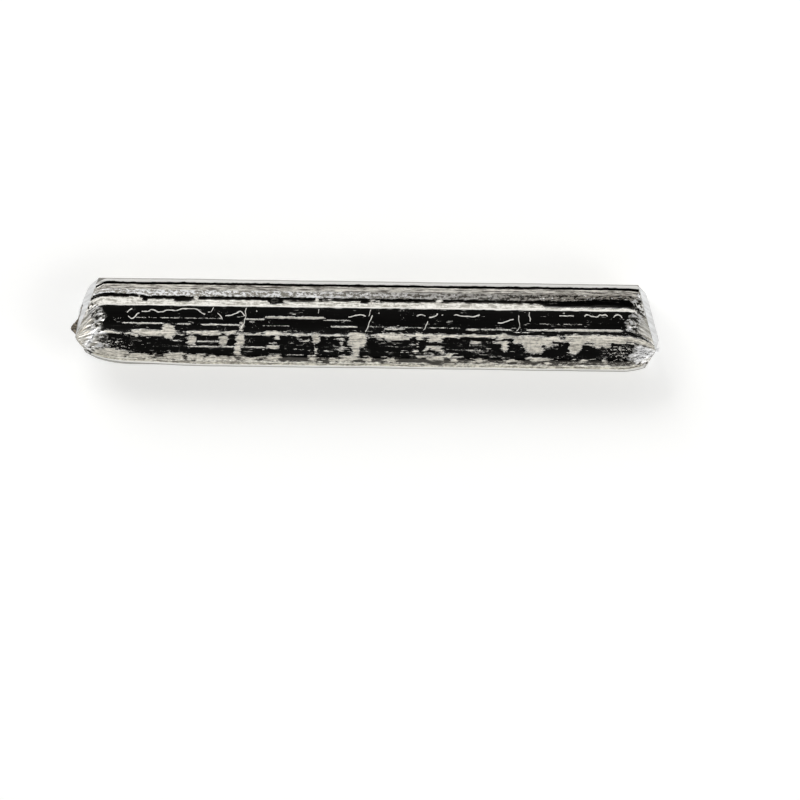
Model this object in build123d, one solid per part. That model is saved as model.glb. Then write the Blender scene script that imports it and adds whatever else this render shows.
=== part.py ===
from build123d import *
from math import cos, radians, sin, tan
import os

os.makedirs("parts", exist_ok=True)

# A cast tin ingot: one slim stick of solid tin, poured in an open trough mould and nipped off
# at both ends. It lies as it was poured, on its narrow mould-bottom side, with the broad poured
# face up. X runs along the stick, +Y is its rear long side and Z is up. Sizes are in millimetres
# and angles in degrees.

# The stick without the burrs on its cut ends
length = 96.1
width = 14.3
height = 8.3

# The sides that the mould gave it
wall_draft = 5.0
bottom_radius = 2.0

# The rim bead that the meniscus left along each long edge, and the fine fold beside it
rear_bead_width = 0.60
front_bead_width = 0.40
bead_depth = 0.30
bead_overhang = 0.10
bead_radius = 0.12
rear_fold_width = 0.36
front_fold_width = 0.30
fold_depth = 0.20
rear_rim_drop = 0.50
front_rim_drop = 1.00

# The poured face: two low ridges with a shallow shrinkage channel between them
rear_ridge_y = 2.60
front_ridge_y = -2.10
channel_sink = 0.22
ridge_foot = 1.30
ridge_foot_drop = 0.22
rear_ridge_radius = 0.30
front_ridge_radius = 0.90
shoulder_width = 1.50
shoulder_drop = 0.32
shoulder_radius = 0.90

# The nipped ends. Each is a wedge of two flat blade prints that meet at a slanting edge: one
# print faces the rear and up, the other faces the front and down. The point is the upper end
# of that edge.
left_point_y = -3.20
left_rear_skew = 20.6
left_rear_lean = 11.3
left_front_skew = 31.0
left_front_lean = 25.4
right_point_y = -3.90
right_rear_skew = 15.5
right_rear_lean = 9.6
right_front_skew = 31.0
right_front_lean = 6.0

# The blades drag the front wall round and the poured face down towards each cut
left_wall_sweep_radius = 18.3
left_wall_sweep_length = 9.5
right_wall_sweep_radius = 12.0
right_wall_sweep_length = 6.5
face_roll_radius = 9.0
face_roll_length = 3.6
face_roll_skew = 22.0

# The torn fin of metal that stands on the edge of each wedge
left_burr_length = 9.0
left_burr_reach = 0.95
right_burr_length = 3.2
right_burr_reach = 0.90
burr_thickness = 0.30
burr_root = 0.60
# Where the fin starts and where it is tallest, as shares of its length
burr_start = 0.12
burr_peak = 0.40

LEFT = -1
RIGHT = 1
half_width = width / 2
cutter_size = 3 * width


def fillet_corner(face, point, radius):
    """Round the corner of a flat face that lies nearest to a point."""
    corner = sorted(face.vertices(), key=lambda vertex: (vertex.center() - Vector(*point)).length)[0]
    return fillet(corner, radius)


# Cross-section, drawn in the YZ plane: local X is the ingot's Y, local Y is its Z
def edge_points(side, rim_drop, bead_width, fold_width):
    """Points of one long edge, from the mould bottom up over the bead to the far lip of its fold."""
    rim_z = height - rim_drop
    bead_foot_z = rim_z - bead_depth
    wall_top_y = half_width - bead_overhang
    wall_foot_y = wall_top_y - bead_foot_z * tan(radians(wall_draft))
    fold_y = half_width - bead_width - fold_width / 2
    outline = [
        (wall_foot_y, 0),
        (wall_top_y, bead_foot_z),
        (half_width, bead_foot_z + bead_overhang),
        (half_width, rim_z),
        (half_width - bead_width, rim_z),
        (fold_y, rim_z - fold_depth),
        (fold_y - fold_width / 2, rim_z),
    ]
    return [(side * y, z) for y, z in outline]


rear_edge = edge_points(1, rear_rim_drop, rear_bead_width, rear_fold_width)
front_edge = edge_points(-1, front_rim_drop, front_bead_width, front_fold_width)
rear_foot = (rear_ridge_y + ridge_foot, height - ridge_foot_drop)
rear_crest = (rear_ridge_y, height)
channel_floor = ((rear_ridge_y + front_ridge_y) / 2, height - channel_sink)
front_crest = (front_ridge_y, height)
shoulder = (-half_width + shoulder_width, height - shoulder_drop)

with BuildLine() as outline:
    Polyline(*rear_edge, rear_foot, rear_crest)
    ThreePointArc(rear_crest, channel_floor, front_crest)
    Polyline(front_crest, shoulder, *reversed(front_edge))
    Line(front_edge[0], rear_edge[0])

section = make_face(outline.line)
section = fillet_corner(section, rear_edge[0], bottom_radius)
section = fillet_corner(section, front_edge[0], bottom_radius)
section = fillet_corner(section, rear_edge[3], bead_radius)
section = fillet_corner(section, rear_edge[4], bead_radius)
section = fillet_corner(section, front_edge[3], bead_radius)
section = fillet_corner(section, front_edge[4], bead_radius)
section = fillet_corner(section, rear_crest, rear_ridge_radius)
section = fillet_corner(section, front_crest, front_ridge_radius)
section = fillet_corner(section, shoulder, shoulder_radius)

stick = extrude(Plane.YZ * section, amount=length / 2 + burr_root, both=True)


# Cut ends
def blade_print(side, point, skew, lean):
    """The metal taken away beyond one flat blade print through the wedge's point."""
    outward = Vector(side, tan(radians(skew)), tan(radians(lean)))
    block = Box(cutter_size, cutter_size, cutter_size, align=(Align.CENTER, Align.CENTER, Align.MIN))
    return Plane(origin=point, z_dir=outward) * block


def wall_sweep(side, sweep_length, radius):
    """The metal missing where the front wall is dragged round, on an arc tangent to that wall."""
    start = Vector(side * (length / 2 - sweep_length), -half_width, height - front_rim_drop)
    draft = radians(wall_draft)
    centre = start + Vector(0, cos(draft), sin(draft)) * radius
    frame = Plane(origin=centre, x_dir=(1, 0, 0), z_dir=(0, -sin(draft), cos(draft)))
    corner = Pos(side * cutter_size / 2, -radius / 2 - half_width / 2, 0) * Box(
        cutter_size, radius + half_width, cutter_size
    )
    return frame * (corner - Cylinder(radius, cutter_size))


def face_roll(side, roll_length, skew):
    """The metal missing where the poured face bends down, on an arc tangent to its ridges."""
    outward = Vector(side * cos(radians(skew)), -sin(radians(skew)), 0)
    point_y = left_point_y if side == LEFT else right_point_y
    start = Vector(side * length / 2, point_y, height - face_roll_radius) - outward * roll_length
    frame = Plane(origin=start, x_dir=outward, z_dir=outward.cross(Vector(0, 0, 1)))
    corner = Pos(cutter_size / 2, face_roll_radius, 0) * Box(
        cutter_size, 2 * face_roll_radius, cutter_size
    )
    return frame * (corner - Cylinder(face_roll_radius, cutter_size))


def wedge_edge(side, rear_skew, rear_lean, front_skew, front_lean):
    """Direction in which the edge between the two blade prints runs down from the point."""
    rear_print = Vector(side, tan(radians(rear_skew)), tan(radians(rear_lean)))
    front_print = Vector(side, -tan(radians(front_skew)), -tan(radians(front_lean)))
    edge = rear_print.cross(front_print).normalized()
    return edge if edge.Z < 0 else -edge


def wedge_point(side, point_y, rear_skew, rear_lean, front_skew, front_lean):
    """The wedge's point, placed so that the edge below it reaches half the stick's length."""
    edge = wedge_edge(side, rear_skew, rear_lean, front_skew, front_lean)
    run = max(0, side * edge.X / -edge.Z * height)
    return Vector(side * (length / 2 - run), point_y, height)


def burr(side, point, edge, burr_length, reach):
    """A thin torn fin that stands on the wedge's edge, tallest near the point."""
    inward = Vector(-side * burr_root, 0, 0)
    top = point + edge * burr_start * burr_length
    tip = point + edge * burr_peak * burr_length + Vector(side * reach, 0, 0)
    foot = point + edge * burr_length
    across = edge.cross(Vector(1, 0, 0)).normalized() * burr_thickness
    blade = Face(Wire.make_polygon([top + inward, tip, foot + inward]))
    return extrude(blade, amount=burr_thickness / 2, dir=across, both=True)


left_shape = (left_rear_skew, left_rear_lean, left_front_skew, left_front_lean)
right_shape = (right_rear_skew, right_rear_lean, right_front_skew, right_front_lean)
left_point = wedge_point(LEFT, left_point_y, *left_shape)
right_point = wedge_point(RIGHT, right_point_y, *right_shape)

ingot = stick
for side, point, shape in ((LEFT, left_point, left_shape), (RIGHT, right_point, right_shape)):
    rear_skew, rear_lean, front_skew, front_lean = shape
    ingot -= blade_print(side, point, rear_skew, rear_lean)
    ingot -= blade_print(side, point, -front_skew, -front_lean)
    ingot -= face_roll(side, face_roll_length, face_roll_skew)
ingot -= wall_sweep(LEFT, left_wall_sweep_length, left_wall_sweep_radius)
ingot -= wall_sweep(RIGHT, right_wall_sweep_length, right_wall_sweep_radius)
ingot += burr(LEFT, left_point, wedge_edge(LEFT, *left_shape), left_burr_length, left_burr_reach)
ingot += burr(RIGHT, right_point, wedge_edge(RIGHT, *right_shape), right_burr_length, right_burr_reach)

# The origin is at the middle of the underside
box = ingot.bounding_box()
ingot = Pos(-box.center().X, -box.center().Y, -box.min.Z) * ingot

export_step(ingot, "parts/ingot.step")
print("volume in cm3:", round(ingot.volume / 1000, 3))
print("box in mm:", ingot.bounding_box().size)
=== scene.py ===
from math import cos, radians, sin

import bpy
import numpy as np
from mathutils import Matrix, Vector, noise


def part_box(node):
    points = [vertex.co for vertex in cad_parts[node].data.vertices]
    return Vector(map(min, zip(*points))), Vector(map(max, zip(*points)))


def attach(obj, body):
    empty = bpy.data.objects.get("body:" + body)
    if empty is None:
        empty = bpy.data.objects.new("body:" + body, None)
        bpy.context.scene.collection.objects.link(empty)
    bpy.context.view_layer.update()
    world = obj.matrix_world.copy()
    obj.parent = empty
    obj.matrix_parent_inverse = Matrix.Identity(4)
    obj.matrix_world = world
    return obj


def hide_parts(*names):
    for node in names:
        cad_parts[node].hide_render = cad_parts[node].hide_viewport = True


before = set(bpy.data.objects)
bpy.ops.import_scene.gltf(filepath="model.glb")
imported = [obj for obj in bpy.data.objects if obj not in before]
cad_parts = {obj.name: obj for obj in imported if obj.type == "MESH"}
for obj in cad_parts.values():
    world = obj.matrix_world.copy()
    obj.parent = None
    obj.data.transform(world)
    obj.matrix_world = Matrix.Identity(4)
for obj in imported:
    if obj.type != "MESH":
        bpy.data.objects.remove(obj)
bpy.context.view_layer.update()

mm = 0.001

# The camera looks down on the broad poured face of the stick, as the photograph does, from a
# little in front of it. At 6.09 pixels to the millimetre the stick lies left of the picture's
# middle and above it, and turned by under a degree.
low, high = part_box("ingot")
pixel = mm / 6.09
picture_width = 800 * pixel
camera_distance = 2000 * mm
camera_azimuth = radians(0.78)
camera_elevation = radians(86)
left_of_middle = 33.9 * pixel
above_middle = 75.6 * pixel
bpy.ops.object.camera_add()
camera = bpy.context.object
camera.name = "camera"
camera.data.lens = camera.data.sensor_width * camera_distance / picture_width
backward = Vector((
    sin(camera_azimuth) * cos(camera_elevation),
    -cos(camera_azimuth) * cos(camera_elevation),
    sin(camera_elevation),
))
camera.rotation_mode = "QUATERNION"
camera.rotation_quaternion = backward.to_track_quat("Z", "Y")
rightward = camera.rotation_quaternion @ Vector((1, 0, 0))
upward = camera.rotation_quaternion @ Vector((0, 1, 0))
face_centre = Vector(((low.x + high.x) / 2, (low.y + high.y) / 2, high.z))
aim = face_centre + rightward * left_of_middle - upward * above_middle
camera.location = aim + backward * camera_distance
bpy.context.scene.camera = camera
bpy.context.scene.view_settings.view_transform = "Standard"


# The ground of the picture is a white table top under even studio light. The room fades to a
# dark ceiling straight above the camera, which the mirror-smooth tin shows as black.
def linear(code):
    """The linear colour of an sRGB hex code, with an alpha of 1."""
    shares = [int(code[i:i + 2], 16) / 255 for i in (1, 3, 5)]
    return [s / 12.92 if s <= 0.04045 else ((s + 0.055) / 1.055) ** 2.4 for s in shares] + [1]


def add_node(tree, kind, sockets=None, **settings):
    """Add one shader node and give its outputs. A socket takes a value or another's output."""
    made = tree.nodes.new("ShaderNode" + kind)
    for name, setting in settings.items():
        setattr(made, name, setting)
    for name, value in (sockets or {}).items():
        if isinstance(value, bpy.types.NodeSocket):
            tree.links.new(value, made.inputs[name])
        else:
            made.inputs[name].default_value = value
    return made.outputs


def fill_ramp(output, stops):
    """Give the colour ramp that an output belongs to its stops, each a place and a grey."""
    ramp = output.node.color_ramp
    while len(ramp.elements) < len(stops):
        ramp.elements.new(0.5)
    for element, (place, grey) in zip(ramp.elements, stops):
        element.position = place
        element.color = (grey, grey, grey, 1)


world = bpy.data.worlds.new("studio")
world.use_nodes = True
world.node_tree.nodes.clear()
bpy.context.scene.world = world
tree = world.node_tree
direction = add_node(tree, "TexCoord")["Generated"]
height = add_node(tree, "SeparateXYZ", {"Vector": direction})["Z"]
room = add_node(tree, "ValToRGB", {"Fac": height})["Color"]
fill_ramp(room, [(0.0, 1.0), (0.25, 1.0), (0.45, 0.9), (0.82, 0.9), (0.88, 0.012)])
# Soft panels and the gaps between them stand round the table, above the height of the eye
round_table = add_node(tree, "Mapping", {"Vector": direction, "Scale": (2.2, 2.2, 0.3)})["Vector"]
panels = add_node(tree, "TexNoise", {"Vector": round_table, "Scale": 1.0, "Detail": 1.0})["Fac"]
panels = add_node(tree, "ValToRGB", {"Fac": panels})["Color"]
fill_ramp(panels, [(0.40, 0.38), (0.56, 1.0)])
raised = add_node(tree, "MapRange", {"Value": height, "From Min": 0.2, "From Max": 0.4})["Result"]
gaps = add_node(tree, "MixRGB", {"Fac": raised, "Color1": (1, 1, 1, 1), "Color2": panels})["Color"]
lit_room = add_node(
    tree, "MixRGB", {"Fac": 1.0, "Color1": room, "Color2": gaps}, blend_type="MULTIPLY"
)["Color"]
backlight = add_node(tree, "Background", {"Color": lit_room, "Strength": 1.0})["Background"]
add_node(tree, "OutputWorld", {"Surface": backlight})

for name, place, size, power in (
    ("rear_softbox", (-0.5, 0.8, 0.7), 0.7, 6),
    ("side_softbox", (0.9, -0.3, 0.6), 0.6, 3),
):
    bpy.ops.object.light_add(type="AREA", location=place)
    lamp = bpy.context.object
    lamp.name = name
    lamp.data.size = size
    lamp.data.energy = power
    lamp.rotation_mode = "QUATERNION"
    lamp.rotation_quaternion = Vector(place).to_track_quat("Z", "Y")

bpy.ops.mesh.primitive_plane_add(size=4, location=(0, 0, 0))
floor = bpy.context.object
floor.name = "floor"
table_top = bpy.data.materials.new("white table top")
table_top.use_nodes = True
table_top.node_tree.nodes.clear()
tree = table_top.node_tree
rays = add_node(tree, "LightPath")
seen = add_node(
    tree, "Math", {0: rays["Is Camera Ray"], 1: rays["Is Glossy Ray"]}, operation="MAXIMUM"
)[0]
seen = add_node(tree, "Math", {0: seen, 1: rays["Is Transmission Ray"]}, operation="MAXIMUM")[0]
glow = add_node(tree, "Math", {0: seen, 1: 0.38}, operation="MULTIPLY")[0]
paint = add_node(tree, "BsdfPrincipled", {
    "Base Color": linear("#E2E2E0"),
    "Roughness": 0.9,
    "Specular IOR Level": 0.1,
    "Emission Color": linear("#FFFFFF"),
    "Emission Strength": glow,
})["BSDF"]
add_node(tree, "OutputMaterial", {"Surface": paint})
floor.data.materials.append(table_top)

# The ingot is one slim stick of tin, poured into an open trough mould. Its mesh starts as the
# outline of the frame's stick at mid-length, drawn out along X into a fine net that the marks
# of casting and nipping then move.
face_step = 0.125
wall_step = 0.42
net_lengths = 4
rings_each = 98
face_foot = 6.8
overrun = 2.0

bpy.ops.object.select_all(action="DESELECT")
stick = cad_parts["ingot"]
ingot = bpy.data.objects.new("cast_ingot", stick.data.copy())
ingot.data.materials.clear()
bpy.context.scene.collection.objects.link(ingot)
ingot.select_set(True)
bpy.context.view_layer.objects.active = ingot

# The flat blade prints on the frame's ends, as a side, a point and an outward direction each
prints = []
for side in (-1, 1):
    for turn in (-1, 1):
        flats = [
            face for face in ingot.data.polygons
            if face.normal.x * side > 0.6 and face.normal.y * turn > 0.15
        ]
        flat = max(flats, key=lambda face: face.area)
        prints.append((side, flat.center / mm, flat.normal.copy()))


def select_edges(wanted):
    """Select the edges whose two ends meet a condition, and say how many there are."""
    bpy.ops.mesh.select_all(action="DESELECT")
    bpy.ops.object.mode_set(mode="OBJECT")
    places = [vertex.co / mm for vertex in ingot.data.vertices]
    for edge in ingot.data.edges:
        edge.select = wanted(*(places[i] for i in edge.vertices))
    found = sum(edge.select for edge in ingot.data.edges)
    bpy.ops.object.mode_set(mode="EDIT")
    return found


def too_long(start, end):
    """Whether an edge of the outline is longer than the net's mesh."""
    step = face_step if max(start.z, end.z) > face_foot else wall_step
    return (end - start).length > 1.4 * step


bpy.ops.object.mode_set(mode="EDIT")
bpy.ops.mesh.select_mode(type="EDGE")
bpy.ops.mesh.select_all(action="SELECT")
bpy.ops.mesh.remove_doubles(threshold=0.001 * mm)
bpy.ops.mesh.bisect(
    plane_co=(0, 0, 0), plane_no=(1, 0, 0), clear_inner=True, clear_outer=True
)
bpy.ops.mesh.select_all(action="SELECT")
bpy.ops.mesh.remove_doubles(threshold=0.05 * mm)
while select_edges(too_long):
    bpy.ops.mesh.subdivide(number_cuts=1)

half_length = high.x / mm + overrun
net_length = 2 * half_length / net_lengths
bpy.ops.mesh.select_all(action="SELECT")
bpy.ops.transform.translate(value=(-half_length * mm, 0, 0))
for _ in range(net_lengths):
    bpy.ops.mesh.extrude_edges_move(TRANSFORM_OT_translate={"value": (net_length * mm, 0, 0)})
select_edges(lambda start, end: abs(end.x - start.x) > net_length / 2)
bpy.ops.mesh.subdivide(number_cuts=rings_each)
for side in (-1, 1):
    select_edges(lambda start, end: min(side * start.x, side * end.x) > half_length - 0.01)
    bpy.ops.mesh.edge_face_add()
bpy.ops.mesh.select_all(action="SELECT")
bpy.ops.mesh.normals_make_consistent(inside=False)
bpy.ops.object.mode_set(mode="OBJECT")

# What the metal did as it froze. The poured face has two low ridges, and between and before
# them it is mirror-smooth, crossed by frosty skin. Places are in millimetres: x along the
# stick from the middle of its bare length, which the burrs put off the frame's middle, and depth
# across the face from its rear edge.
off_middle = 0.22
count = len(ingot.data.vertices)
net = np.empty(count * 3)
ingot.data.vertices.foreach_get("co", net)
net_x, y, z = (net.reshape(-1, 3) / mm).T
x = net_x - off_middle
rear_side = high.y / mm
depth = rear_side - y


def smooth(value, start, end):
    """A share that rises softly from 0 at start to 1 at end."""
    share = np.clip((value - start) / (end - start), 0, 1)
    return share * share * (3 - 2 * share)


def grain(x_size, y_size, seed, octaves=3):
    """Soft noise between about -1 and 1 over the net, with its lumps' sizes in millimetres."""
    spots = zip(x / x_size, y / y_size, z / y_size + 7.3 * seed)
    return np.array([noise.fractal(spot, 1.0, 2.0, octaves) for spot in spots])


def along_only(x_size, seed):
    """Soft noise that changes along the stick only."""
    return np.array([noise.fractal((place / x_size, 5.1 * seed, 0.5), 1.0, 2.0, 3) for place in x])


# The frosty skin is a band on the rear ridge and one along the front edge. The ridge's band is
# narrower near the right end and wider near the left one. The other patches, and the bare spots
# in them, are given as x, depth, half the length and half the width.
rear_band_top = 3.42 + 0.55 * smooth(x, 28.0, 29.5) - 0.32 * smooth(-x, 35.5, 38.5)
rear_band_foot = 4.50
front_band_top = 13.25
skin_patches = (
    (-37.6, 3.0, 0.25, 0.4), (-28.2, 3.1, 0.45, 0.45), (-8.3, 3.1, 0.35, 0.5), (-6.5, 3.15, 1.2, 0.12),
    (1.0, 3.25, 0.9, 0.25), (11.8, 3.1, 0.8, 0.35),
    (-35.0, 9.0, 4.3, 0.65), (-40.5, 8.95, 2.2, 0.2), (-32.7, 8.7, 1.1, 1.3), (-25.5, 8.9, 5.2, 0.32),
    (-28.9, 10.3, 0.85, 0.8), (-23.6, 10.2, 0.75, 0.95), (-20.9, 10.0, 0.75, 1.1),
    (-21.3, 11.7, 0.6, 0.9),
    (-20.6, 8.0, 0.3, 1.0), (-15.5, 8.85, 2.6, 0.36), (-14.9, 9.5, 0.5, 0.45), (-15.7, 11.1, 1.1, 0.32),
    (-11.5, 8.9, 2.7, 0.22), (-8.4, 9.55, 0.68, 0.9), (-9.6, 9.9, 0.9, 0.13), (-8.4, 11.6, 0.25, 0.9),
    (-5.1, 8.95, 0.8, 0.2), (-4.6, 9.6, 0.5, 0.15), (-4.1, 11.2, 0.65, 0.45), (-4.2, 10.4, 0.2, 0.6),
    (-1.6, 9.7, 1.5, 1.35), (-1.8, 11.4, 0.65, 1.2), (4.5, 9.1, 3.2, 0.62), (1.3, 8.95, 2.2, 0.3),
    (10.3, 8.95, 5.0, 0.38), (11.2, 9.4, 1.5, 0.6), (11.3, 10.9, 1.5, 0.42), (10.1, 11.1, 1.0, 0.18),
    (12.4, 11.5, 0.5, 0.35), (8.3, 10.0, 0.22, 1.2), (8.1, 11.4, 0.5, 0.35), (19.0, 8.85, 4.5, 0.3),
    (22.6, 9.0, 1.4, 0.5), (18.0, 9.95, 0.95, 0.3), (21.4, 9.85, 1.8, 0.17), (18.1, 11.1, 1.0, 0.16),
    (22.7, 10.4, 0.6, 1.0), (26.9, 9.6, 3.4, 1.0), (27.4, 10.9, 1.5, 0.8), (30.2, 9.2, 1.5, 0.55),
    (30.0, 10.1, 1.1, 0.35), (38.5, 9.1, 7.5, 0.75), (45.0, 9.1, 3.0, 0.6), (34.2, 10.2, 1.2, 1.3),
    (33.9, 11.3, 0.8, 0.4),
    (38.3, 10.0, 2.2, 0.45), (-42.3, 12.7, 3.3, 0.9), (-37.3, 13.1, 2.6, 0.55), (-31.7, 12.9, 1.9, 0.65),
    (-28.2, 12.9, 1.9, 0.55), (-24.5, 13.1, 3.0, 0.42), (-19.6, 13.1, 1.6, 0.4), (-15.9, 12.9, 1.3, 0.5),
    (-14.8, 12.7, 0.7, 0.45), (-8.8, 12.9, 0.8, 0.45), (-5.5, 13.1, 2.0, 0.33), (-2.9, 12.7, 1.3, 0.55),
    (0.2, 13.0, 0.8, 0.35), (3.7, 12.95, 1.3, 0.42), (11.2, 12.5, 2.2, 0.42), (14.1, 13.1, 0.9, 0.55),
    (13.4, 12.2, 0.5, 0.4), (18.2, 12.8, 1.2, 0.28), (23.6, 12.8, 1.4, 0.22), (28.5, 12.6, 1.9, 0.36),
    (35.5, 12.6, 1.2, 0.26), (39.1, 12.8, 0.5, 0.4),
)
bare_spots = (
    (-36.6, 3.4, 0.4, 0.4), (-30.3, 3.5, 1.6, 0.3), (-15.0, 3.6, 1.5, 0.42), (-11.0, 3.42, 2.4, 0.14),
    (-0.6, 3.45, 0.8, 0.35), (3.8, 3.4, 3.0, 0.12), (24.3, 10.5, 1.15, 0.5), (11.6, 13.2, 1.6, 0.28),
    (-6.9, 13.25, 0.6, 0.3),
)
# Thin drawn lines on the mirror: x from and to, the depth and half the width
skin_lines = (
    (-40.0, -33.6, 7.45, 0.12), (-31.1, -29.1, 7.5, 0.11), (-27.0, -21.2, 7.55, 0.10),
    (-17.4, -13.0, 7.6, 0.04), (-5.7, -2.0, 7.6, 0.11), (0.3, 15.0, 7.58, 0.05),
    (16.6, 18.2, 7.8, 0.14),
    (18.8, 23.4, 7.75, 0.11), (26.5, 31.5, 7.75, 0.15), (31.0, 41.6, 7.68, 0.19),
    (24.2, 27.2, 8.15, 0.05),
    (-38.0, -30.0, 6.5, 0.04), (-29.9, -24.0, 6.5, 0.03), (-19.8, -17.0, 6.55, 0.12),
    (-7.0, -3.3, 6.55, 0.05), (27.3, 35.0, 6.7, 0.04), (-16.4, -7.3, 6.2, 0.19), (-21.0, 0.0, 9.1, 0.09),
    (-29.0, -17.0, 11.15, 0.11), (-31.8, -30.5, 10.25, 0.08), (-27.8, -24.3, 10.3, 0.10),
    (-16.0, -14.9, 10.45, 0.07), (7.1, 7.8, 10.4, 0.11), (12.8, 15.6, 12.3, 0.12),
    (1.5, 7.0, 11.65, 0.03),
    (8.0, 15.0, 11.75, 0.03), (15.0, 21.0, 11.2, 0.04), (31.0, 36.0, 12.9, 0.05),
    (15.0, 23.0, 12.95, 0.04),
    (3.1, 3.7, 7.9, 0.14), (4.2, 4.7, 7.9, 0.18), (5.2, 5.8, 7.85, 0.14), (33.0, 42.0, 13.05, 0.05),
    (-6.9, -5.9, 11.6, 0.10), (-13.2, -10.5, 12.3, 0.05), (-12.0, -10.6, 11.4, 0.06),
)


def inside(spot):
    """How far each point lies inside a rounded spot, in millimetres, and outside it below 0."""
    middle, across, half_long, half_wide = spot
    reach = (abs((x - middle) / half_long) ** 3 + abs((depth - across) / half_wide) ** 3) ** (1 / 3)
    return (1 - reach) * min(half_long, half_wide)


skin = np.minimum(depth - rear_band_top, rear_band_foot - depth)
skin = np.maximum(skin, depth - front_band_top)
for patch in skin_patches:
    shrunk = 0.05 * (1 - smooth(depth, 11.8, 12.3))
    skin = np.maximum(skin, inside(patch) - shrunk)
for spot in bare_spots:
    skin = np.minimum(skin, -inside(spot))
# How ragged its border is: most on the mirror, least along the ridge
off_ridge = smooth(depth, 4.6, 5.2)
looseness = 0.45 + 0.55 * off_ridge - 0.25 * smooth(depth, 3.9, 4.2) * (1 - off_ridge)
skin = np.clip(skin, -1.2, 0.6) + looseness * (0.28 * grain(1.0, 0.45, 1, 4) - 0.07)
line = np.full(count, -1.0)
for start, end, across, half_wide in skin_lines:
    past_end = np.maximum(0, np.maximum(start - x, x - end))
    line = np.maximum(line, half_wide - abs(depth - across) - 0.3 * past_end)

# Near the nipped ends the face is crumpled and bright. The depths and the x at which that starts
crumple_border = {
    -1: (
        (0.0, 3.0, 4.3, 5.5, 6.6, 7.6, 8.8, 9.5, 11.3, 12.5, 14.3),
        (45.4, 45.6, 44.0, 43.8, 43.0, 43.9, 43.2, 42.4, 42.4, 44.0, 45.6),
    ),
    1: (
        (0.0, 2.0, 2.8, 3.6, 4.5, 5.5, 6.5, 7.6, 8.4, 9.5, 9.8, 11.2, 12.2, 13.0, 14.3),
        (45.6, 43.8, 43.2, 44.2, 43.4, 42.9, 42.6, 42.6, 47.0, 47.0, 43.8, 43.6, 42.8, 43.8, 45.6),
    ),
}
border = np.where(x < 0, np.interp(depth, *crumple_border[-1]), np.interp(depth, *crumple_border[1]))
crumpled = smooth(abs(x) - border + 0.8 * grain(0.9, 0.7, 2, 4), -0.25, 0.35)
# A crease that the left blade pressed up, from the front ridge to the front edge, painted white along it
# as a highlight
crease_top = np.array((-44.8, 8.7))
crease_run = np.array((-1.4, 3.8))
from_top = np.column_stack((x, depth)) - crease_top
share = (from_top @ crease_run / (crease_run @ crease_run)).clip(0, 1)
crease_gap = np.linalg.norm(from_top - np.outer(share, crease_run), axis=1)
crease = np.exp(-(crease_gap / 0.35) ** 2)

# The right blade left the face before the point in facets with cracks between, and the left one did so
# in spots beside its crease. The facets are painted white as a highlight and the cracks dark as shade
facets = smooth(x, 43.2, 44.6) * smooth(depth, 9.7, 10.3) * (1 - smooth(depth, 12.7, 13.3))
facets = np.maximum(facets, np.exp(-(crease_gap / 0.8) ** 2) * smooth(grain(0.6, 0.5, 18), -0.3, 0.3))

# Places on the face by depth, and the height at which the sides give way to it
rear_fold_depth = 0.80
rough_band_top = 1.85
rough_band_foot = 2.75
ridge_step = 4.08
ridge_crest = 4.38
front_fold_depth = 13.95
face_start = 6.6
on_face = smooth(z, face_start, face_start + 0.6)
# The bands behind the ridge bend off towards the ends
band_shift = 0.32 * smooth(-x, 35.5, 38.5) * smooth(depth, 1.6, 2.4) * (1 - smooth(depth, 3.6, 4.1))
band_shift += 0.35 * smooth(x, 33, 38) * smooth(depth, 1.8, 2.5) * (1 - smooth(depth, 3.0, 3.5))
band_shift -= 0.6 * smooth(-x, 42.8, 44.8) * (1 - smooth(depth, 1.6, 2.6))
lay = np.column_stack((x, depth + band_shift * on_face, z))
rise = 0.030 * grain(9, 3, 3) + 0.006 * grain(25, 0.35, 4)
rise += 0.040 * smooth(skin, -0.10, 0.12) * (1 + 0.6 * grain(0.8, 0.35, 5))
rise += 0.045 * smooth(line, -0.05, 0.08)
rise += 0.05 * np.exp(-((depth - ridge_crest) / 0.12) ** 2)
rise -= 0.03 * np.exp(-((depth - ridge_step) / 0.09) ** 2) * smooth(along_only(3, 16), -0.1, 0.3)
past_top = smooth(depth, rough_band_top - 0.1, rough_band_top + 0.1)
past_foot = smooth(depth, rough_band_foot - 0.1, rough_band_foot + 0.1)
rise += 0.045 * past_top * (1 - past_foot) * grain(0.34, 0.36, 6)
rear_fold = np.exp(-((depth - rear_fold_depth) / 0.17) ** 2)
rise -= 0.10 * rear_fold * (0.6 + along_only(6, 7))
front_fold = np.exp(-((depth - front_fold_depth) / 0.12) ** 2)
rise -= 0.06 * front_fold * (0.5 + along_only(7, 8))
crumples = 0.5 - 1.6 * abs(grain(1.5, 1.0, 9, 4)) + 0.8 * grain(0.8, 0.6, 10)
rise += 0.12 * crumpled * crumples + 0.16 * crease
rise += 0.22 * facets * abs(grain(1.1, 0.9, 20, 3))
dressed_z = z + on_face * rise
rim_sway = 0.05 * along_only(8, 11) * smooth(depth, 1.4, 0.4)
rim_sway += 0.05 * along_only(9, 12) * smooth(depth, 12.8, 13.8)
drawn_in = 0.35
rim_sway += drawn_in * smooth(-x, 26, 40) * smooth(depth, 11.5, 13.8)
dressed_y = y + rim_sway * smooth(z, 4, 7)

# The mould sides are flat, with long fine lines and soft hollows
on_wall = (1 - smooth(z, face_start - 0.2, face_start + 0.2)) * smooth(z, 0.3, 1.2)
hollow = 0.06 * grain(14, 4, 13) + 0.030 * grain(22, 0.45, 14)
hollow += 0.035 * smooth(z, 3.0, 5.0) * grain(1.1, 0.6, 17, 4)
dressed_y = dressed_y + np.sign(y) * on_wall * (hollow - 0.05)
on_bed = 1 - smooth(z, 0.2, 1.0)
dressed_z = dressed_z + on_bed * np.maximum(0, 0.05 + 0.05 * grain(6, 3, 15))

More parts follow.
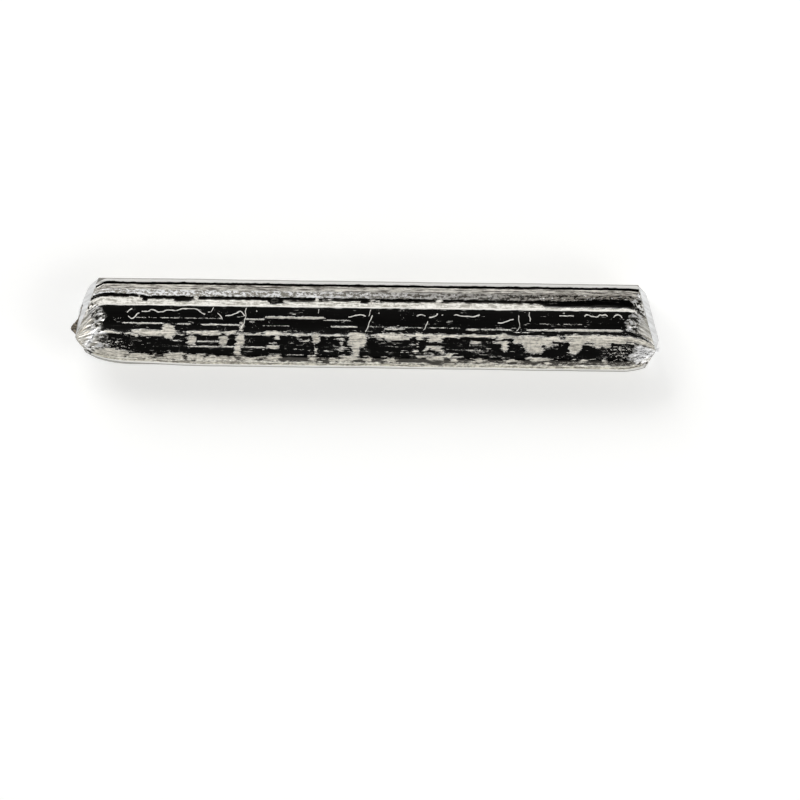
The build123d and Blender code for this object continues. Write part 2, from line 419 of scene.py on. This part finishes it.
# What the cutters did: their blades bent the face down, swept the front wall round, and drew
# the bands together towards each point. The sizes are those of the stick in the frame.
wedge_point_y = {-1: -3.20, 1: -3.90}
sweep = {-1: (18.3, 9.5), 1: (12.0, 6.5)}
bare_length = 96.1
roll_radius = 9.0
roll_length = 3.6
roll_skew = radians(22)
pinch_length = {-1: 5.0, 1: 5.6}
front_side = low.y / mm
for side in (-1, 1):
    point_y = wedge_point_y[side]
    sweep_radius, sweep_length = sweep[side]
    on_side = side * x > 0
    to_tip = side * x - bare_length / 2
    in_sweep = np.clip(to_tip + sweep_length, 0, 0.98 * sweep_radius)
    inset = sweep_radius - np.sqrt(sweep_radius ** 2 - in_sweep ** 2)
    narrowed = (point_y - front_side - inset) / (point_y - front_side)
    before = dressed_y < point_y
    swept = np.where(before, point_y + (dressed_y - point_y) * narrowed, dressed_y)
    pull = np.clip((to_tip + pinch_length[side]) / pinch_length[side], 0, 1) ** 2
    half_span = np.where(before, point_y - front_side, rear_side - point_y)
    slack = 1 - (abs(dressed_y - point_y) / half_span).clip(0, 1) ** 2
    pinched = swept + (point_y - swept) * 0.9 * pull * slack * on_face
    dressed_y = np.where(on_side, pinched, dressed_y)
    in_roll = np.clip(
        to_tip * cos(roll_skew) - (dressed_y - point_y) * sin(roll_skew) + roll_length,
        0, 0.9 * roll_radius,
    )
    sunk = roll_radius - np.sqrt(roll_radius ** 2 - in_roll ** 2)
    dressed_z = np.where(on_side, dressed_z - sunk * smooth(z, 3.0, 8.0), dressed_z)

dressed = np.column_stack((net_x, dressed_y, dressed_z)) * mm
ingot.data.vertices.foreach_set("co", dressed.ravel())
marks = {
    "skin": skin, "looseness": looseness, "line": line, "crumpled": crumpled, "crease": crease,
    "past_border": abs(x) - border, "facets": facets,
}
for name, shares in marks.items():
    ingot.data.attributes.new(name, "FLOAT", "POINT").data.foreach_set("value", shares)
ingot.data.attributes.new("lay", "FLOAT_VECTOR", "POINT").data.foreach_set("vector", lay.ravel())
ingot.data.update()

# The cutters' blades met and left two flat prints on each end. A blade is a block whose flat side
# lies on the print, and what it cuts away ends the stick.
blade_size = 60 * mm
for side, point, outward in prints:
    bpy.ops.mesh.primitive_cube_add(
        size=blade_size,
        location=point * mm + outward * blade_size / 2,
        rotation=outward.to_track_quat("Z", "Y").to_euler(),
    )
    blade = bpy.context.object
    bpy.ops.object.select_all(action="DESELECT")
    ingot.select_set(True)
    bpy.context.view_layer.objects.active = ingot
    bpy.ops.object.modifier_add(type="BOOLEAN")
    ingot.modifiers[0].object = blade
    bpy.ops.object.modifier_apply(modifier=ingot.modifiers[0].name)
    bpy.data.objects.remove(blade)
for face in ingot.data.polygons:
    face.material_index = 1 if face.normal.z < 0.35 else 0
    for side, point, outward in prints:
        if face.normal.dot(outward) > 0.999 and abs((face.center / mm - point).dot(outward)) < 0.02:
            face.material_index = 2

# Threads of skin lie on the mirror where the last melt drew back and left them standing: thin
# wandering beads, and laps that run across. Each is a list of x and depth.
threads = (
    ((-39.5, 5.7), (-39.2, 5.3), (-38.7, 5.1)),
    ((-39.3, 6.3), (-38.9, 6.65), (-38.5, 6.65), (-38.1, 6.3), (-37.9, 5.9), (-37.5, 5.75)),
    ((-37.1, 5.5), (-36.0, 5.45), (-35.5, 5.15), (-35.0, 5.25), (-34.3, 5.55), (-33.5, 5.45),
     (-32.9, 5.2), (-31.5, 5.3), (-30.3, 4.95), (-28.0, 5.0), (-27.4, 5.5), (-26.7, 5.9)),
    ((-25.8, 5.45), (-26.2, 5.5)),
    ((-24.6, 5.6), (-24.1, 6.1), (-23.8, 6.6)),
    ((-23.3, 6.0), (-22.2, 5.85), (-21.3, 5.45), (-20.9, 5.2), (-20.6, 5.4), (-20.2, 6.0)),
    ((-3.1, 5.95), (-2.4, 5.8), (-1.8, 5.65), (-0.9, 5.55), (-0.3, 5.8)),
    ((8.1, 5.65), (8.5, 5.4), (9.0, 5.35), (9.5, 5.6)),
    ((10.1, 5.85), (10.6, 5.8), (11.0, 5.65), (11.4, 5.6), (11.5, 5.2)),
    ((12.2, 5.45), (12.4, 5.4)),
    ((14.2, 5.45), (14.6, 5.3), (15.3, 5.6), (16.2, 5.55), (17.0, 5.65), (17.8, 5.6), (18.4, 5.3)),
    ((21.4, 6.6), (22.4, 6.55), (23.0, 6.3), (23.5, 6.05), (24.0, 6.0)),
    ((31.5, 5.3), (33.9, 5.3)),
    ((35.6, 5.4), (35.9, 5.05), (36.3, 5.1), (36.7, 5.35), (37.8, 5.35), (38.1, 5.0), (38.5, 5.2),
     (39.0, 4.95), (39.4, 5.3)),
    ((40.4, 5.5), (40.6, 5.15), (41.1, 5.0), (41.6, 5.2), (41.8, 5.5)),
    ((1.8, 5.3), (1.95, 5.3)),
    ((-18.3, 5.15), (-18.1, 5.2)),
)
laps = (
    ((-19.9, 4.7), (-20.1, 5.2), (-19.95, 5.9), (-20.2, 6.7), (-20.2, 7.2), (-20.6, 7.7), (-20.8, 8.2)),
    ((-25.3, 4.7), (-25.5, 5.0), (-25.7, 5.4)),
    ((-8.0, 4.7), (-8.1, 5.4)),
    ((0.5, 4.7), (0.3, 5.2), (0.35, 5.5), (0.2, 5.8)),
    ((0.8, 5.7), (0.6, 6.2), (0.35, 6.6), (0.2, 7.1), (0.15, 7.5), (-0.3, 8.4)),
    ((9.9, 6.5), (9.8, 6.9), (9.5, 7.3), (9.5, 7.6), (9.2, 8.0)),
    ((24.8, 5.4), (24.8, 6.0), (25.0, 6.8), (24.9, 7.5), (24.5, 7.9)),
    ((26.6, 4.8), (26.5, 5.3), (26.75, 5.8), (26.7, 6.3)),
)
# A dark torn lip runs up the outer edge of the left print
lip = (
    ((-46.95, 4.1), (-47.15, 4.8), (-47.3, 5.6), (-47.5, 6.4), (-47.65, 7.0)),
)
# One fixed seed, so that beads and fins are shaken alike in every run
noise.seed_set(3)


def beads_along(name, lines, radius, bead_step=0.22):
    """Uneven beads along lines over the stick, as one mesh. Each line is a list of x and depth."""
    curve = bpy.data.curves.new(name, "CURVE")
    curve.dimensions = "3D"
    curve.bevel_depth = radius * mm
    curve.bevel_resolution = 1
    curve.resolution_u = 2
    curve.use_fill_caps = True
    for line in lines:
        corners = np.array(line)
        runs = np.append(0, np.cumsum(np.hypot(*np.diff(corners, axis=0).T)))
        steps = np.linspace(0, runs[-1], max(3, int(runs[-1] / bead_step)))
        spline = curve.splines.new("NURBS")
        spline.points.add(len(steps) - 1)
        places = zip(np.interp(steps, runs, corners[:, 0]), np.interp(steps, runs, corners[:, 1]))
        for point, (along, across) in zip(spline.points, places):
            shake = noise.noise_vector((1.7 * along, 1.7 * across, 0.5))
            above = Vector((along + off_middle, rear_side - across, 3 * high.z / mm)) * mm
            above += Vector((0.06 * shake.x, 0.10 * shake.y, 0)) * mm
            place = ingot.ray_cast(above, Vector((0, 0, -1)))[1]
            point.co = (*place, 1)
            point.radius = 1 + 0.9 * noise.noise((2.3 * along, 2.3 * across, 4.0))
        spline.order_u = 3
        spline.use_endpoint_u = True
    beads = bpy.data.objects.new(name, curve)
    bpy.context.scene.collection.objects.link(beads)
    bpy.ops.object.select_all(action="DESELECT")
    beads.select_set(True)
    bpy.context.view_layer.objects.active = beads
    bpy.ops.object.convert(target="MESH")
    bpy.ops.object.mode_set(mode="EDIT")
    bpy.ops.mesh.select_all(action="SELECT")
    bpy.ops.mesh.remove_doubles(threshold=0.001 * mm)
    bpy.ops.mesh.normals_make_consistent(inside=False)
    bpy.ops.object.mode_set(mode="OBJECT")
    return bpy.context.object


thread_beads = beads_along("threads", threads, 0.08)
lap_beads = beads_along("laps", laps, 0.055)
lip_beads = beads_along("lip", lip, 0.08)

# A torn fin of metal stands on each wedge's edge: what of the frame's stick lies outside the two
# prints, bent and frayed.
fin_gap = 0.01
fin_share = {-1: 1.0, 1: 0.45}
fins = []
for side, point, outward in prints:
    fin = bpy.data.objects.new("left_fin" if side < 0 else "right_fin", stick.data.copy())
    fin.data.materials.clear()
    bpy.context.scene.collection.objects.link(fin)
    bpy.ops.object.select_all(action="DESELECT")
    fin.select_set(True)
    bpy.context.view_layer.objects.active = fin
    bpy.ops.object.mode_set(mode="EDIT")
    bpy.ops.mesh.select_all(action="SELECT")
    bpy.ops.mesh.remove_doubles(threshold=0.001 * mm)
    bpy.ops.mesh.bisect(
        plane_co=(point + outward * fin_gap) * mm, plane_no=outward, threshold=0.001 * mm,
        use_fill=True, clear_inner=True,
    )
    bpy.ops.mesh.select_all(action="SELECT")
    bpy.ops.mesh.quads_convert_to_tris()
    bpy.ops.mesh.subdivide(number_cuts=7)
    bpy.ops.object.mode_set(mode="OBJECT")
    for vertex in fin.data.vertices:
        fray = noise.noise_vector(vertex.co / (0.9 * mm))
        fray += noise.noise_vector(vertex.co / (0.35 * mm))
        stands_out = (vertex.co - point * mm).dot(outward)
        vertex.co += fray * 0.09 * mm - outward * stands_out * (1 - fin_share[side])
    fins.append(fin)


# Cast tin, the poured face: tin keeps the bright, faintly warm white of its melt. Where the
# skin froze last it is a clean mirror, and where crystals grew through the skin it is frosty.
def new_material(name):
    """An empty material, and its node tree."""
    made = bpy.data.materials.new(name)
    made.use_nodes = True
    made.node_tree.nodes.clear()
    return made, made.node_tree


tin, tree = new_material("cast tin")
lay_out = add_node(tree, "Attribute", attribute_name="lay")["Vector"]
skin_out = add_node(tree, "Attribute", attribute_name="skin")["Fac"]
loose_out = add_node(tree, "Attribute", attribute_name="looseness")["Fac"]
line_out = add_node(tree, "Attribute", attribute_name="line")["Fac"]
crumple_out = add_node(tree, "Attribute", attribute_name="crumpled")["Fac"]
crease_and_highlight_out = add_node(tree, "Attribute", attribute_name="crease")["Fac"]
crumple_far_out = add_node(tree, "Attribute", attribute_name="past_border")["Fac"]
facet_highlight_out = add_node(tree, "Attribute", attribute_name="facets")["Fac"]
parted = add_node(tree, "SeparateXYZ", {"Vector": lay_out})
along = parted["X"]
depth_out = parted["Y"]


def lumps(x_size, y_size, seed, detail=4.0, roughness=0.6):
    """Noise whose lumps have these sizes in millimetres along and across the stick."""
    place = add_node(tree, "Attribute", attribute_name="lay")["Vector"]
    placed = add_node(tree, "Mapping", {
        "Vector": place, "Location": (seed, seed, seed), "Scale": (1 / x_size, 1 / y_size, 1 / y_size),
    })["Vector"]
    return add_node(tree, "TexNoise", {
        "Vector": placed, "Scale": 1.0, "Detail": detail, "Roughness": roughness,
    })["Fac"]


def math(operation, *values):
    """The sum, product or the like of some values."""
    return add_node(tree, "Math", dict(enumerate(values)), operation=operation)["Value"]


def step(value, start, end):
    """A share that rises softly from 0 at start to 1 at end."""
    return add_node(tree, "MapRange", {
        "Value": value, "From Min": start, "From Max": end,
    }, interpolation_type="SMOOTHSTEP")["Result"]


def blend(share, first, second):
    """The first colour where the share is 0 and the second where it is 1."""
    return add_node(tree, "MixRGB", {"Fac": share, "Color1": first, "Color2": second})["Color"]


# The skin's border is ragged: coarse teeth, and fine teeth drawn out along the stick
teeth = math("MULTIPLY_ADD", lumps(1.5, 0.26, 3, 7.0, 0.75), 1.5, -0.75)
teeth = math("ADD", teeth, math("MULTIPLY_ADD", lumps(3.2, 0.10, 5, 3.0), 0.8, -0.40))
frosty = step(math("MULTIPLY_ADD", teeth, loose_out, skin_out), -0.03, 0.05)
breaks = math("MULTIPLY_ADD", lumps(0.7, 0.20, 7, 5.0, 0.75), 0.64, -0.32)
drawn = math("MULTIPLY", step(math("ADD", line_out, breaks), -0.02, 0.13), 0.85)
streaks = step(lumps(5, 0.07, 11, 2.0), 0.62, 0.72)
streaks = math("MULTIPLY", streaks, step(lumps(1.5, 1.2, 17), 0.52, 0.66))
fine_streaks = step(lumps(2.5, 0.09, 12, 3.0), 0.56, 0.68)
fine_streaks = math("MULTIPLY", fine_streaks, step(lumps(3.5, 0.9, 18), 0.46, 0.62))
fine_streaks = math("MULTIPLY", fine_streaks, step(depth_out, 9.0, 10.5))
streaks = math("MAXIMUM", math("MULTIPLY", streaks, 0.45), math("MULTIPLY", fine_streaks, 0.40))
specks = step(lumps(0.22, 0.16, 19, 1.0), 0.66, 0.74)
specks = math("MULTIPLY", specks, step(lumps(2.5, 1.6, 21), 0.50, 0.64))
# Fine flecks gather on the mirror before the front edge, near both ends
near_ends = math("MULTIPLY", step(math("ABSOLUTE", along), 36.5, 42.0), step(depth_out, 9.8, 10.8))
end_specks = math("MULTIPLY", step(lumps(0.60, 0.28, 45, 3.0, 0.7), 0.58, 0.62), near_ends)
streaks = math("MAXIMUM", streaks, math("MULTIPLY", end_specks, 0.8))
frosty = math("MAXIMUM", frosty, drawn)
frosty = math("MAXIMUM", frosty, streaks)
frosty = math("MAXIMUM", frosty, math("MULTIPLY", specks, 0.35))

# The bands along the rear edge: the rim's bead, tinted near white partly as a painted highlight, a fold,
# darkened as grime and painted shade, a plain band and a rough one
sway = math("MULTIPLY_ADD", lumps(5, 60, 23, 3.0), 0.36, -0.18)
sway = math("ADD", sway, math("MULTIPLY_ADD", lumps(1.3, 60, 22, 4.0, 0.7), 0.36, -0.18))
swayed = math("ADD", depth_out, sway)
fold_sway = math("ADD", swayed, math("MULTIPLY_ADD", lumps(2.2, 60, 24, 3.0), 0.30, -0.15))
fold_grime_and_shade = math("MULTIPLY", step(fold_sway, 0.52, 0.62), step(swayed, 1.03, 0.90))
rim = math("MAXIMUM", step(depth_out, 0.66, 0.56), step(depth_out, 13.90, 13.98))
band_foot = math("ADD", swayed, math("MULTIPLY_ADD", lumps(0.8, 0.7, 26, 5.0, 0.75), 0.60, -0.30))
band = math("MULTIPLY", step(depth_out, 0.90, 1.02), step(band_foot, 2.88, 2.80))
rough_band = math("MULTIPLY", step(depth_out, 1.72, 1.95), step(band_foot, 2.88, 2.80))
# A thin white line on the ridge's crest: a painted highlight
ridge_highlight = math("MULTIPLY", step(depth_out, 4.24, 4.32), step(depth_out, 4.52, 4.44))
ridge_highlight = math("MULTIPLY", ridge_highlight, frosty)
# Darker where the face turns down at its outer edges: painted shade
outer_edge_shade = math("MAXIMUM", step(depth_out, 0.20, 0.06), step(depth_out, 14.14, 14.26))

# The mirror's tints: greyer than the frost as a painted dark reflection, and darker still, more painted
# dark reflection, in the groove and on the shoulder before the front edge
mirror_and_reflection_tint = blend(lumps(5, 0.5, 25), linear("#A3A29E"), linear("#C6C4BF"))
groove_dark_reflection = math("MULTIPLY", step(band_foot, 2.70, 2.80), step(depth_out, 4.0, 3.7))
shoulder_dark_reflection = math("MULTIPLY", step(depth_out, 12.2, 12.6), step(depth_out, 13.8, 13.6))
# Painted dark reflection in the groove and on the shoulder
mirror_and_reflection_tint = blend(groove_dark_reflection, mirror_and_reflection_tint, linear("#63615C"))
mirror_and_reflection_tint = blend(shoulder_dark_reflection, mirror_and_reflection_tint, linear("#45433F"))
# The frost's tints: whitest along the ridge and the front edge, and pricked along its borders with dark
# pinholes, painted shade in the pits
frost_grain = math("MULTIPLY_ADD", lumps(0.5, 0.4, 30), 0.5, -0.25)
frost_share = step(math("ADD", lumps(2.2, 0.16, 29, 6.0, 0.65), frost_grain), 0.38, 0.58)
front_tint = blend(frost_share, linear("#ACA89E"), linear("#F0ECE2"))
rear_tint = blend(frost_share, linear("#B8B4AA"), linear("#FDFBF5"))
edge_tint = blend(frost_share, linear("#A5A096"), linear("#FFFDF5"))
frost_tint = blend(step(depth_out, 5.0, 6.0), rear_tint, front_tint)
frost_tint = blend(step(depth_out, 13.1, 13.4), frost_tint, edge_tint)
pinhole_shade = step(lumps(0.24, 0.13, 33, 3.0, 0.7), 0.36, 0.31)
pinhole_shade = math("MULTIPLY", pinhole_shade, step(skin_out, 0.45, 0.20))
frost_tint = blend(math("MULTIPLY", pinhole_shade, 0.8), frost_tint, linear("#2C2925"))
# The rough band's cells, darker towards the right end, and the plain band's drawn lines
cell_groups = math("MULTIPLY_ADD", lumps(2.4, 0.5, 32), 0.5, -0.25)
cell_share = step(math("ADD", lumps(0.65, 0.36, 31, 4.0, 0.7), cell_groups), 0.46, 0.54)
rightwards = step(along, -30.0, 40.0)
dark_cells = blend(rightwards, linear("#9A968C"), linear("#211E1B"))
bright_cells = blend(rightwards, linear("#FFFFFF"), linear("#9A958C"))
cell_tint = blend(cell_share, dark_cells, bright_cells)
cell_tint = blend(step(lumps(0.45, 0.30, 35, 2.0), 0.64, 0.70), cell_tint, linear("#FFFFFF"))
plain_blots = math("MULTIPLY_ADD", lumps(1.8, 0.28, 38, 5.0, 0.7), 0.7, -0.35)
plain_lines = step(math("ADD", lumps(7, 0.10, 37, 5.0, 0.7), plain_blots), 0.43, 0.57)
plain_tint = blend(plain_lines, linear("#66615A"), linear("#EFEBE2"))
# All of them laid over each other, the crumpled ends last
tint = blend(frosty, mirror_and_reflection_tint, frost_tint)
tint = blend(band, tint, blend(rough_band, plain_tint, cell_tint))
# The ridge's painted highlight
tint = blend(ridge_highlight, tint, linear("#FFFDF8"))
# The rim's bead: pale tin with a painted highlight
tint = blend(rim, tint, blend(lumps(7, 0.15, 39), linear("#E4E2DB"), linear("#FFFFFF")))
# Painted shade along the outer edges
tint = blend(outer_edge_shade, tint, linear("#9C9A95"))
# The fold: grime and painted shade in the crease
tint = blend(fold_grime_and_shade, tint, linear("#1E1B17"))
drag = step(lumps(1.6, 0.40, 40, 4.0, 0.65), 0.44, 0.56)
crumple_tint = blend(drag, linear("#BBB5A8"), linear("#FFFDF6"))
edge_share = math("MULTIPLY", step(crumple_out, 0.08, 0.25), step(crumple_far_out, 2.6, 1.4))
# Near the crumple's border, white flecks are painted glints and black flecks painted dark reflections
flecks = lumps(0.75, 0.42, 42, 4.0, 0.70)
glint_flecks = math("MULTIPLY", step(flecks, 0.52, 0.54), edge_share)
crumple_tint = blend(glint_flecks, crumple_tint, linear("#FFFFFF"))
dark_reflection_flecks = math("MULTIPLY", step(flecks, 0.49, 0.47), edge_share)
crumple_tint = blend(dark_reflection_flecks, crumple_tint, linear("#171512"))
# Facets painted white as a highlight, cracks painted dark as shade
from_middle = math("SUBTRACT", lumps(1.8, 0.7, 44, 4.0, 0.65), 0.5)
crack_shade = step(math("ABSOLUTE", from_middle), 0.032, 0.018)
crumple_tint = blend(facet_highlight_out, crumple_tint, blend(crack_shade, linear("#FFFFFF"), linear("#2F2C27")))
tint = blend(math("MULTIPLY", crumple_out, 0.92), tint, crumple_tint)
# The crease painted white: a painted highlight
tint = blend(crease_and_highlight_out, tint, linear("#FFFFFF"))

# The clear skin is a sharp mirror. Frost, bands and crumpled ends are duller, and pitted
covered = math("MAXIMUM", math("MAXIMUM", frosty, band), math("MAXIMUM", rim, crumple_out))
clear_skin = math("SUBTRACT", 1.0, covered)
roughness = math("MULTIPLY_ADD", clear_skin, -0.42, 0.50)
soft = math("MAXIMUM", math("MAXIMUM", frosty, rim), math("MULTIPLY", crumple_out, 0.5))
roughness = math("MULTIPLY_ADD", soft, 0.18, roughness)
roughness = math("MULTIPLY_ADD", crumple_out, -0.12, roughness)
roughness = math("MULTIPLY_ADD", crease_and_highlight_out, -0.14, roughness)
pitless = math("MAXIMUM", clear_skin, math("MULTIPLY", crumple_out, 0.4))
pits = math("MULTIPLY", lumps(0.35, 0.22, 41, 6.0, 0.7), math("SUBTRACT", 1.0, pitless))
draw_lines = math("MULTIPLY", lumps(12, 0.12, 43, 2.0), 0.30)
bumps = add_node(tree, "Bump", {
    "Height": math("ADD", pits, draw_lines), "Strength": 0.6, "Distance": 0.08 * mm,
})["Normal"]
shine = add_node(tree, "BsdfPrincipled", {
    "Base Color": tint, "Metallic": 1.0, "Roughness": roughness, "Normal": bumps,
})["BSDF"]
add_node(tree, "OutputMaterial", {"Surface": shine})

# Cast tin, the mould sides: the cooler mould froze the tin at once and left it satin, with long straight
# lines and pits where air was caught. Olive-grey streaks on them are a painted reflection of dark
# surroundings.
mould_side, tree = new_material("mould-cast tin")
lay_out = add_node(tree, "Attribute", attribute_name="lay")["Vector"]
height_out = add_node(tree, "SeparateXYZ", {"Vector": lay_out})["Z"]
# Olive-grey streaks along the sides: a painted reflection of dark surroundings
dark_reflection_lines = math("MULTIPLY_ADD", lumps(22, 0.10, 53), 0.8, -0.4)
dark_reflection_streaks = step(math("ADD", lumps(16, 0.9, 51, 5.0), dark_reflection_lines), 0.30, 0.66)
side_tint = blend(dark_reflection_streaks, linear("#4F4D45"), linear("#BDBBB3"))
border_sway = math("MULTIPLY_ADD", lumps(9, 2.0, 55), 2.4, -1.2)
low_share = step(math("ADD", height_out, border_sway), 3.6, 2.4)
side_tint = blend(math("MULTIPLY", low_share, 0.7), side_tint, linear("#DEDCD4"))
side_lines = step(lumps(40, 0.07, 57, 1.0), 0.60, 0.66)
side_tint = blend(math("MULTIPLY", side_lines, 0.8), side_tint, linear("#FAF8F2"))
# Air pits painted dark: painted shade in the pits
pit_shade = step(lumps(0.7, 0.4, 59, 5.0, 0.75), 0.60, 0.66)
pit_shade = math("MULTIPLY", pit_shade, step(height_out, 3.2, 4.6))
pit_shade = math("MULTIPLY", pit_shade, step(lumps(9, 3, 61), 0.42, 0.56))
side_tint = blend(pit_shade, side_tint, linear("#23211D"))
side_grain = math("MULTIPLY", lumps(0.5, 0.3, 65, 6.0, 0.7), 0.5)
side_bumps = math("MULTIPLY_ADD", lumps(22, 0.16, 63), 0.8, side_grain)
bumps = add_node(tree, "Bump", {"Height": side_bumps, "Strength": 0.6, "Distance": 0.08 * mm})["Normal"]
shine = add_node(tree, "BsdfPrincipled", {
    "Base Color": side_tint, "Metallic": 1.0, "Roughness": 0.36, "Normal": bumps,
})["BSDF"]
add_node(tree, "OutputMaterial", {"Surface": shine})

# Nipped tin: soft tin takes the blade's own finish, a satin print with fine curved lines where
# the blade slid through.
nipped, tree = new_material("nipped tin")
place = add_node(tree, "TexCoord")["Object"]
bent = add_node(tree, "Mapping", {
    "Vector": place, "Scale": (0, 1 / (0.5 * mm), 1 / (9 * mm)),
})["Vector"]
slides = add_node(tree, "TexNoise", {
    "Vector": bent, "Scale": 1.0, "Detail": 4.0, "Distortion": 0.6,
})["Fac"]
print_tint = blend(step(slides, 0.30, 0.70), linear("#C6C6C6"), linear("#E4E5E6"))
bumps = add_node(tree, "Bump", {"Height": slides, "Strength": 0.2, "Distance": 0.05 * mm})["Normal"]
shine = add_node(tree, "BsdfPrincipled", {
    "Base Color": print_tint, "Metallic": 1.0, "Roughness": 0.45, "Normal": bumps,
})["BSDF"]
add_node(tree, "OutputMaterial", {"Surface": shine})

# Skin threads and torn fins: the thread is the frosty skin's own pale metal, and the torn edge is
# grainy, dull and dark.
thread_tin, tree = new_material("thread of skin")
shine = add_node(tree, "BsdfPrincipled", {
    "Base Color": linear("#F4F2EC"), "Metallic": 0.5, "Roughness": 0.6,
})["BSDF"]
add_node(tree, "OutputMaterial", {"Surface": shine})

torn, tree = new_material("torn tin")
place = add_node(tree, "TexCoord")["Object"]
crumbs = add_node(tree, "TexNoise", {"Vector": place, "Scale": 1 / (0.4 * mm), "Detail": 4.0})["Fac"]
shine = add_node(tree, "BsdfPrincipled", {
    "Base Color": blend(step(crumbs, 0.40, 0.60), linear("#2E2923"), linear("#8C8274")),
    "Metallic": 1.0, "Roughness": 0.55,
})["BSDF"]
add_node(tree, "OutputMaterial", {"Surface": shine})

for material in (tin, mould_side, nipped):
    ingot.data.materials.append(material)
for beads in (thread_beads, lap_beads):
    beads.data.materials.append(thread_tin)
lip_beads.data.materials.append(torn)
for fin in fins:
    fin.data.materials.append(torn if fin.name.startswith("left") else nipped)
bpy.ops.object.select_all(action="DESELECT")
for part in (thread_beads, lap_beads, lip_beads, *fins, ingot):
    part.select_set(True)
bpy.context.view_layer.objects.active = ingot
bpy.ops.object.join()
bpy.ops.object.shade_smooth_by_angle(angle=radians(50))
# The prints are flat, with sharp borders
for face in ingot.data.polygons:
    if ingot.data.materials[face.material_index] == nipped:
        face.use_smooth = False
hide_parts("ingot")
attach(ingot, "root")
